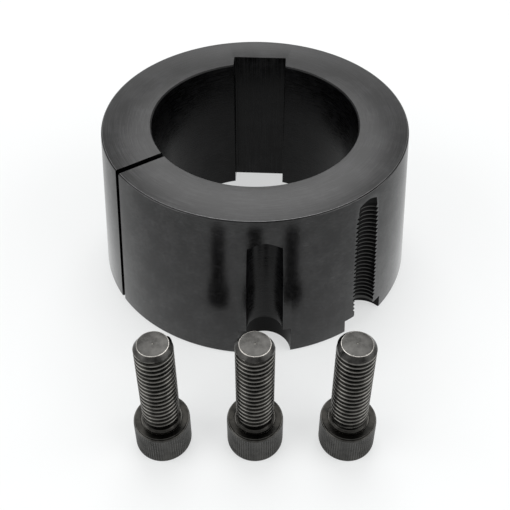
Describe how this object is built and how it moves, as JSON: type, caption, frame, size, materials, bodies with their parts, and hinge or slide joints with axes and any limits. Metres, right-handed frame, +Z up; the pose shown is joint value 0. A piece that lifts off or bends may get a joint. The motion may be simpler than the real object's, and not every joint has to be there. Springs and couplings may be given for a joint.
{
  "type": "taper bush",
  "caption": "Split taper bush with a keyed bore and plain and threaded half holes round its taper, with its socket head cap screws standing on their heads beside it.",
  "frame": {"origin": "on the bush's bore axis, in the plane of its big-end face, which is the floor it stands on", "axes": "+Z up along the bore, from the big end to the small end; -Y towards the row of screws; +X to the right when the screws are in front"},
  "size_m": [0.1269, 0.173, 0.0635],
  "materials": {
    "blackened_iron": "turned and blackened, satin",
    "black_oxide_steel": "black oxide, satin, worn bright at its edges"
  },
  "bodies": {
    "root": {"taper_bush": "blackened_iron", "cap_screw_left": "black_oxide_steel", "cap_screw_middle": "black_oxide_steel", "cap_screw_right": "black_oxide_steel"}
  },
  "joints": []
}
